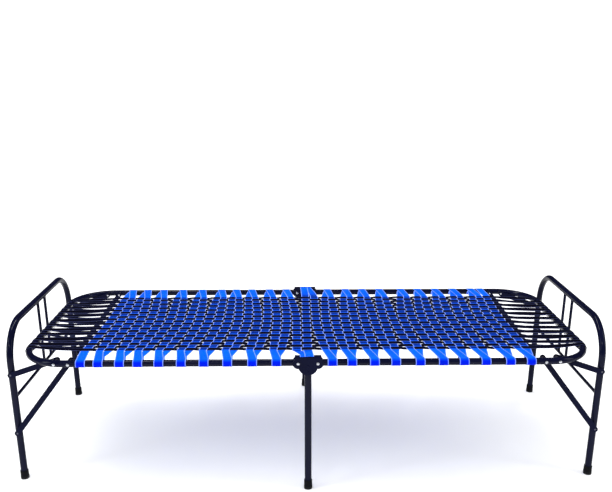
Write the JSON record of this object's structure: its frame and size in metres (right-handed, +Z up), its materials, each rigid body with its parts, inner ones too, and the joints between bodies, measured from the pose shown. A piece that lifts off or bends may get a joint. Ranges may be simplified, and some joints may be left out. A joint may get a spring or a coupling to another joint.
{
  "type": "folding cot",
  "caption": "Folding cot with a strap-woven surface on a tube frame that folds in half at a centre stand, with a folding leg hoop at each end.",
  "frame": {"origin": "on the floor, below the middle of the bed", "axes": "+X along the bed, towards the right hoop; +Y across it, towards the rear; +Z up"},
  "size_m": [1.904, 0.8244, 0.5248],
  "materials": {
    "frame_tube": "gloss",
    "flat_bar": "semi-gloss",
    "rivet": "satin",
    "rubber": "matte",
    "blue_strap": "woven plastic webbing with a soft sheen",
    "black_strap": "coarse woven plastic webbing"
  },
  "bodies": {
    "centre_stand": {"front_hinge_bracket": "flat_bar", "rear_hinge_bracket": "flat_bar", "hinge_pivots": "rivet", "front_centre_leg": "frame_tube", "rear_centre_leg": "frame_tube", "centre_leg_rivets": "rivet", "centre_feet": "rubber", "cross_rod": "frame_tube", "centre_cross_strap": "blue_strap", "centre_long_straps": "black_strap"},
    "left_half_bed": {"left_rail": "frame_tube", "left_cross_straps": "blue_strap", "left_long_straps": "black_strap", "left_side_wraps": "blue_strap", "left_end_wraps": "black_strap", "left_link_pivots": "rivet", "left_brace_pivots": "rivet", "left_link_spacers": "rivet", "left_brace_spacers": "rivet"},
    "left_upper_links": {"left_front_link": "flat_bar", "left_rear_link": "flat_bar"},
    "left_braces": {"left_front_brace": "flat_bar", "left_rear_brace": "flat_bar", "left_brace_rivets": "rivet"},
    "left_leg_hoop": {"left_hoop": "frame_tube", "left_crossbar": "frame_tube", "left_uprights": "frame_tube", "left_leg_pivots": "rivet", "left_front_foot": "rubber", "left_rear_foot": "rubber"},
    "right_half_bed": {"right_rail": "frame_tube", "right_cross_straps": "blue_strap", "right_long_straps": "black_strap", "right_side_wraps": "blue_strap", "right_end_wraps": "black_strap", "right_link_pivots": "rivet", "right_brace_pivots": "rivet", "right_link_spacers": "rivet", "right_brace_spacers": "rivet"},
    "right_upper_links": {"right_front_link": "flat_bar", "right_rear_link": "flat_bar"},
    "right_braces": {"right_front_brace": "flat_bar", "right_rear_brace": "flat_bar", "right_brace_rivets": "rivet"},
    "right_leg_hoop": {"right_hoop": "frame_tube", "right_crossbar": "frame_tube", "right_uprights": "frame_tube", "right_leg_pivots": "rivet", "right_front_foot": "rubber", "right_rear_foot": "rubber"}
  },
  "joints": [
    {"name": "left_fold", "type": "hinge", "parent": "centre_stand", "child": "left_half_bed", "pos_m": [-0.0307, 0, 0.416], "axis": [0, -1, 0], "range_deg": [0, 90]},
    {"name": "left_link_swing", "type": "hinge", "parent": "left_half_bed", "child": "left_upper_links", "pos_m": [-0.785, 0, 0.416], "axis": [0, -1, 0], "range_deg": [0, 154.4]},
    {"name": "left_leg_swing", "type": "hinge", "parent": "left_upper_links", "child": "left_leg_hoop", "pos_m": [-0.93628, 0, 0.36391], "axis": [0, -1, 0], "range_deg": [-65.9, 0]},
    {"name": "left_brace_swing", "type": "hinge", "parent": "left_half_bed", "child": "left_braces", "pos_m": [-0.741, 0, 0.416], "axis": [0, -1, 0], "range_deg": [0, 123.92]},
    {"name": "right_fold", "type": "hinge", "parent": "centre_stand", "child": "right_half_bed", "pos_m": [0.0307, 0, 0.416], "axis": [0, 1, 0], "range_deg": [0, 90]},
    {"name": "right_link_swing", "type": "hinge", "parent": "right_half_bed", "child": "right_upper_links", "pos_m": [0.785, 0, 0.416], "axis": [0, 1, 0], "range_deg": [0, 154.4]},
    {"name": "right_leg_swing", "type": "hinge", "parent": "right_upper_links", "child": "right_leg_hoop", "pos_m": [0.93628, 0, 0.36391], "axis": [0, 1, 0], "range_deg": [-65.9, 0]},
    {"name": "right_brace_swing", "type": "hinge", "parent": "right_half_bed", "child": "right_braces", "pos_m": [0.741, 0, 0.416], "axis": [0, 1, 0], "range_deg": [0, 123.92]}
  ],
  "couplings": [
    {"joint": "left_link_swing", "follows": "left_fold", "ratio": 1.7155},
    {"joint": "left_leg_swing", "follows": "left_fold", "ratio": -0.73227},
    {"joint": "left_brace_swing", "follows": "left_fold", "ratio": 1.3769},
    {"joint": "right_link_swing", "follows": "right_fold", "ratio": 1.7155},
    {"joint": "right_leg_swing", "follows": "right_fold", "ratio": -0.73227},
    {"joint": "right_brace_swing", "follows": "right_fold", "ratio": 1.3769}
  ]
}
